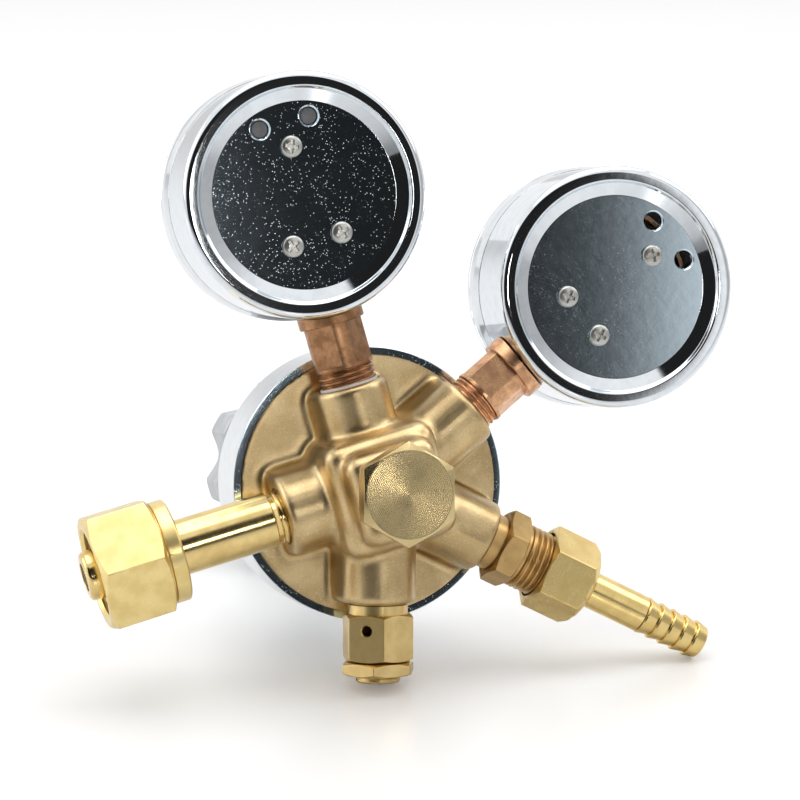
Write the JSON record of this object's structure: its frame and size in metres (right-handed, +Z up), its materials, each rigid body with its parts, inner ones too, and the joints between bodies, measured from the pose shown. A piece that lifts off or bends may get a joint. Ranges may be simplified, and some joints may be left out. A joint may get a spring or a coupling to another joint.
{
  "type": "nitrogen pressure regulator",
  "caption": "Gas pressure regulator with a brass body, chromed bonnet, hand knob, gauges, inlet nut, hose outlet and relief valve.",
  "frame": {"origin": "centre of the bounding box in plan, on the surface that the regulator stands on", "axes": "+Z up as the regulator stands on its relief valve, hose tail and knob; +Y roughly along the regulating axis from the plug to the knob, which dips towards the knob; +X to the right seen from the plug"},
  "size_m": [0.1652, 0.1392, 0.1485],
  "materials": {
    "forged_brass": "blasted forging",
    "turned_brass": "turned",
    "copper_brass": "turned, slightly tarnished",
    "copper": "soft copper gasket",
    "sintered_bronze": "sintered",
    "chrome_plate": "polished chrome plate",
    "steel": "zinc plated",
    "knob_grey": "cast, satin",
    "black_rubber": "matt",
    "seat_plastic": "matt",
    "white_enamel": "satin enamel",
    "black_enamel": "satin black",
    "gauge_glass": "clear"
  },
  "bodies": {
    "regulator": {"body": "forged_brass", "seat_plug": "turned_brass", "plug_gasket": "copper", "seat_nozzle": "turned_brass", "poppet_spring": "steel", "diaphragm": "black_rubber", "slip_ring": "turned_brass", "regulating_spring": "steel", "bonnet": "chrome_plate", "inlet_stem": "copper_brass", "inlet_filter": "sintered_bronze", "outlet_adapter": "copper_brass", "relief_body": "turned_brass", "relief_locknut": "turned_brass", "relief_adjuster": "turned_brass", "relief_spring": "steel", "inlet_gauge_case": "chrome_plate", "inlet_gauge_bezel": "chrome_plate", "inlet_gauge_window": "gauge_glass", "inlet_gauge_dial": "white_enamel", "inlet_gauge_socket": "copper_brass", "inlet_gauge_bourdon_tube": "copper_brass", "inlet_gauge_movement": "turned_brass", "inlet_gauge_back_screw_1": "steel", "inlet_gauge_back_screw_2": "steel", "inlet_gauge_back_screw_3": "steel", "outlet_gauge_case": "chrome_plate", "outlet_gauge_bezel": "chrome_plate", "outlet_gauge_window": "gauge_glass", "outlet_gauge_dial": "white_enamel", "outlet_gauge_socket": "copper_brass", "outlet_gauge_bourdon_tube": "copper_brass", "outlet_gauge_movement": "turned_brass", "outlet_gauge_back_screw_1": "steel", "outlet_gauge_back_screw_2": "steel", "outlet_gauge_back_screw_3": "steel"},
    "spring_button": {"spring_button": "steel"},
    "adjusting_knob": {"adjusting_screw": "steel", "knob": "knob_grey", "knob_cap": "black_enamel", "knob_grub_screw": "black_enamel"},
    "diaphragm_plate": {"diaphragm_plate": "turned_brass"},
    "poppet": {"poppet": "steel", "seat_disc": "seat_plastic"},
    "inlet_nut": {"inlet_nut": "turned_brass"},
    "hose_tail": {"hose_barb": "turned_brass"},
    "union_nut": {"outlet_nut": "turned_brass"},
    "relief_poppet": {"relief_poppet": "turned_brass"},
    "inlet_gauge_pointer": {"inlet_gauge_pointer": "black_enamel"},
    "inlet_gauge_sector": {"inlet_gauge_sector": "turned_brass"},
    "inlet_gauge_link": {"inlet_gauge_link": "steel"},
    "outlet_gauge_pointer": {"outlet_gauge_pointer": "black_enamel"},
    "outlet_gauge_sector": {"outlet_gauge_sector": "turned_brass"},
    "outlet_gauge_link": {"outlet_gauge_link": "steel"}
  },
  "joints": [
    {"name": "button_slide", "type": "slide", "parent": "regulator", "child": "spring_button", "axis": [0.0067, -0.9715, 0.2368], "range_m": [0, 0.006], "deforming": ["regulating_spring"]},
    {"name": "knob_turn", "type": "hinge", "parent": "spring_button", "child": "adjusting_knob", "pos_m": [-0.00882, 0.05154, 0.02639], "axis": [0.0067, -0.9715, 0.2368], "range_deg": [0, 1440]},
    {"name": "plate_slide", "type": "slide", "parent": "regulator", "child": "diaphragm_plate", "axis": [0.0067, -0.9715, 0.2368], "range_m": [0, 0.0008], "deforming": ["diaphragm"]},
    {"name": "poppet_slide", "type": "slide", "parent": "regulator", "child": "poppet", "axis": [0.0067, -0.9715, 0.2368], "range_m": [0, 0.0008], "deforming": ["poppet_spring"]},
    {"name": "inlet_nut_turn", "type": "hinge", "parent": "regulator", "child": "inlet_nut", "pos_m": [-0.06867, -0.03955, 0.03447], "axis": [-0.9752, -0.0588, -0.2135], "continuous": true},
    {"name": "hose_tail_slide", "type": "slide", "parent": "regulator", "child": "hose_tail", "axis": [0.8728, -0.1099, -0.4755], "range_m": [0, 0.0035]},
    {"name": "union_nut_turn", "type": "hinge", "parent": "hose_tail", "child": "union_nut", "pos_m": [0.03717, -0.04161, 0.02298], "axis": [0.8728, -0.1099, -0.4755], "range_deg": [0, 840]},
    {"name": "relief_poppet_slide", "type": "slide", "parent": "regulator", "child": "relief_poppet", "axis": [-0.056, -0.2368, -0.9699], "range_m": [0, 0.001], "stiffness_N_per_m": 2000, "springref_m": -0.003, "deforming": ["relief_spring"]},
    {"name": "inlet_pointer_turn", "type": "hinge", "parent": "regulator", "child": "inlet_gauge_pointer", "pos_m": [-0.02448, -0.01903, 0.11737], "axis": [0.0067, -0.9715, 0.2368], "range_deg": [0, 270], "stiffness_Nm_per_rad": 0.0005, "springref_deg": -17.19},
    {"name": "inlet_sector_turn", "type": "hinge", "parent": "regulator", "child": "inlet_gauge_sector", "pos_m": [-0.02629, -0.02243, 0.1035], "axis": [-0.0067, 0.9715, -0.2368], "range_deg": [0, 33.75]},
    {"name": "inlet_link_turn", "type": "hinge", "parent": "inlet_gauge_sector", "child": "inlet_gauge_link", "pos_m": [-0.03328, -0.02255, 0.10318], "axis": [0.0067, -0.9715, 0.2368], "range_deg": [0, 33.75]},
    {"name": "outlet_pointer_turn", "type": "hinge", "parent": "regulator", "child": "outlet_gauge_pointer", "pos_m": [0.05229, -0.02475, 0.09173], "axis": [0.0067, -0.9715, 0.2368], "range_deg": [0, 270], "stiffness_Nm_per_rad": 0.0005, "springref_deg": -17.19},
    {"name": "outlet_sector_turn", "type": "hinge", "parent": "regulator", "child": "outlet_gauge_sector", "pos_m": [0.03851, -0.02583, 0.08769], "axis": [-0.0067, 0.9715, -0.2368], "range_deg": [0, 33.75]},
    {"name": "outlet_link_turn", "type": "hinge", "parent": "outlet_gauge_sector", "child": "outlet_gauge_link", "pos_m": [0.03535, -0.02437, 0.09376], "axis": [0.0067, -0.9715, 0.2368], "range_deg": [0, 33.75]}
  ],
  "couplings": [
    {"joint": "knob_turn", "follows": "button_slide", "rad_per_m": 4188.8},
    {"joint": "plate_slide", "follows": "button_slide", "ratio": 0.1333},
    {"joint": "poppet_slide", "follows": "button_slide", "ratio": 0.1333},
    {"joint": "union_nut_turn", "follows": "hose_tail_slide", "rad_per_m": 4188.8},
    {"joint": "inlet_sector_turn", "follows": "inlet_pointer_turn", "ratio": 0.125},
    {"joint": "inlet_link_turn", "follows": "inlet_pointer_turn", "ratio": 0.125},
    {"joint": "outlet_sector_turn", "follows": "outlet_pointer_turn", "ratio": 0.125},
    {"joint": "outlet_link_turn", "follows": "outlet_pointer_turn", "ratio": 0.125}
  ]
}
